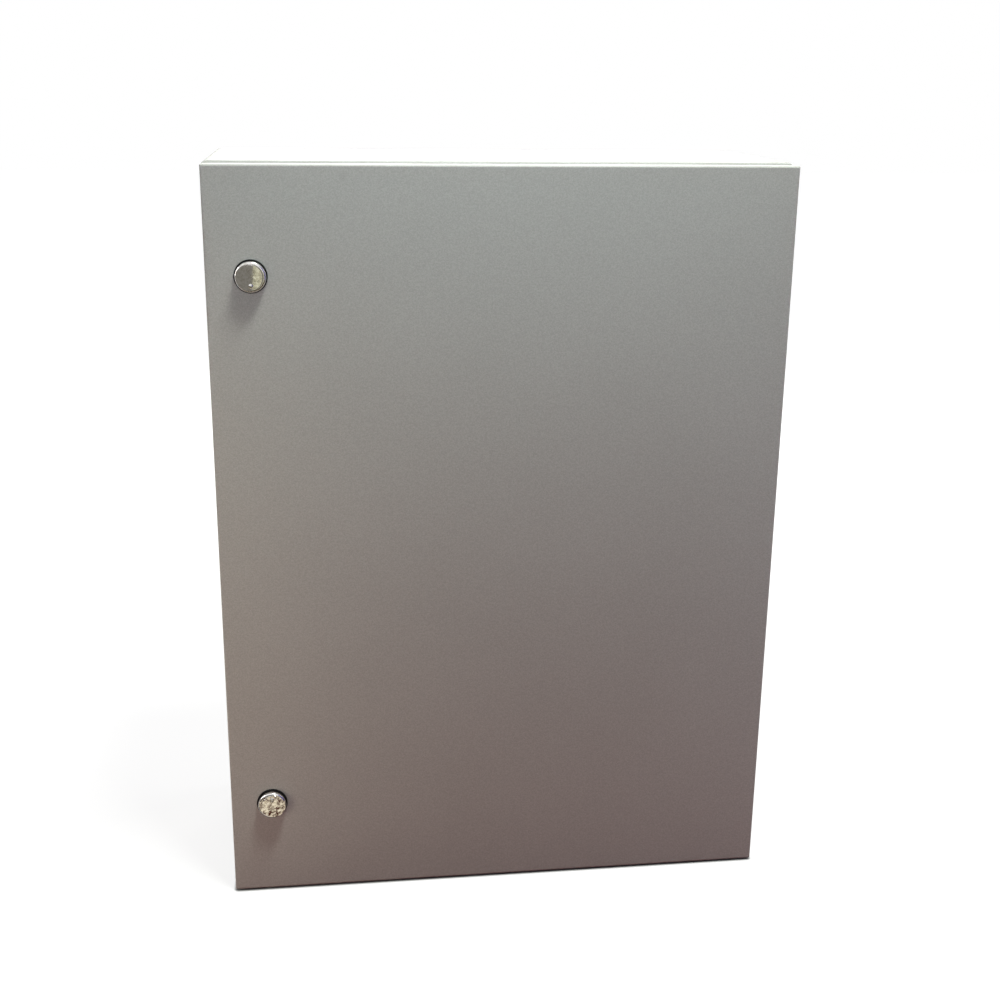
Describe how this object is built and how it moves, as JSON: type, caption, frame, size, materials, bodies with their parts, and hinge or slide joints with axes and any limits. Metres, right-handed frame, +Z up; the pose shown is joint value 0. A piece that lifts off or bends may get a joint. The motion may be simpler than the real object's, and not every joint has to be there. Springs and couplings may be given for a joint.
{
  "type": "wall-mount electrical enclosure",
  "caption": "Sheet steel wall enclosure with a flat hinged door, quarter-turn cam locks under swinging dust covers, a mounting plate and a gland plate.",
  "frame": {"origin": "middle of the footprint, on the plane that the base stands on", "axes": "+X right seen from the front, +Y towards the wall, +Z up"},
  "size_m": [0.6, 0.2604, 0.8],
  "materials": {
    "grey_paint": "light grey powder coat with fine orange peel",
    "galvanised_steel": "galvanised sheet with faint spangle",
    "zinc_steel": "bright zinc plating",
    "foam_seal": "matt foamed seal",
    "black_rubber": "satin black rubber",
    "chrome_lock": "chromed die casting with fine handling marks",
    "zinc_lock": "zinc plated steel"
  },
  "bodies": {
    "cabinet": {"body_wrap": "grey_paint", "back_panel": "grey_paint", "mounting_plate": "galvanised_steel", "plate_studs": "zinc_steel", "plate_spacers": "zinc_steel", "plate_washers": "zinc_steel", "plate_nuts": "zinc_steel", "gland_plate": "grey_paint", "gland_gasket": "foam_seal", "gland_studs": "zinc_steel", "gland_washers": "zinc_steel", "gland_nuts": "zinc_steel", "body_earth_stud": "zinc_steel", "body_earth_washer": "zinc_steel", "body_earth_nut": "zinc_steel", "hinge_frame_leaf_upper": "zinc_steel", "hinge_frame_leaf_lower": "zinc_steel", "hinge_pin_upper": "zinc_steel", "hinge_pin_lower": "zinc_steel", "hinge_leaf_screws": "zinc_steel", "hinge_leaf_nuts": "zinc_steel"},
    "door": {"door_panel": "grey_paint", "door_gasket": "foam_seal", "door_stiffener_left": "grey_paint", "door_stiffener_right": "grey_paint", "hinge_door_leaf_upper": "zinc_steel", "hinge_door_leaf_lower": "zinc_steel", "door_earth_stud": "zinc_steel", "door_earth_washer": "zinc_steel", "door_earth_nut": "zinc_steel", "lock_seal_upper": "black_rubber", "lock_housing_upper": "chrome_lock", "lock_nut_upper": "zinc_lock", "cover_rivet_upper": "chrome_lock", "lock_seal_lower": "black_rubber", "lock_housing_lower": "chrome_lock", "lock_nut_lower": "zinc_lock", "cover_rivet_lower": "chrome_lock"},
    "lock_upper": {"lock_core_upper": "zinc_lock", "lock_cam_upper": "zinc_lock", "cam_washer_upper": "zinc_lock", "cam_screw_upper": "zinc_lock"},
    "cover_upper": {"dust_cover_upper": "chrome_lock"},
    "lock_lower": {"lock_core_lower": "zinc_lock", "lock_cam_lower": "zinc_lock", "cam_washer_lower": "zinc_lock", "cam_screw_lower": "zinc_lock"},
    "cover_lower": {"dust_cover_lower": "chrome_lock"}
  },
  "joints": [
    {"name": "door_hinge", "type": "hinge", "parent": "cabinet", "child": "door", "pos_m": [0.29, -0.11077, 0.4], "axis": [0, 0, 1], "range_deg": [0, 120]},
    {"name": "lock_turn_upper", "type": "hinge", "parent": "door", "child": "lock_upper", "pos_m": [-0.2545, -0.11978, 0.6905], "axis": [0, 1, 0], "range_deg": [0, 90]},
    {"name": "cover_swing_upper", "type": "hinge", "parent": "door", "child": "cover_upper", "pos_m": [-0.2545, -0.12828, 0.6822], "axis": [0, 1, 0], "continuous": true},
    {"name": "lock_turn_lower", "type": "hinge", "parent": "door", "child": "lock_lower", "pos_m": [-0.2545, -0.11978, 0.1095], "axis": [0, 1, 0], "range_deg": [0, 90]},
    {"name": "cover_swing_lower", "type": "hinge", "parent": "door", "child": "cover_lower", "pos_m": [-0.2545, -0.12828, 0.1178], "axis": [0, 1, 0], "continuous": true}
  ]
}
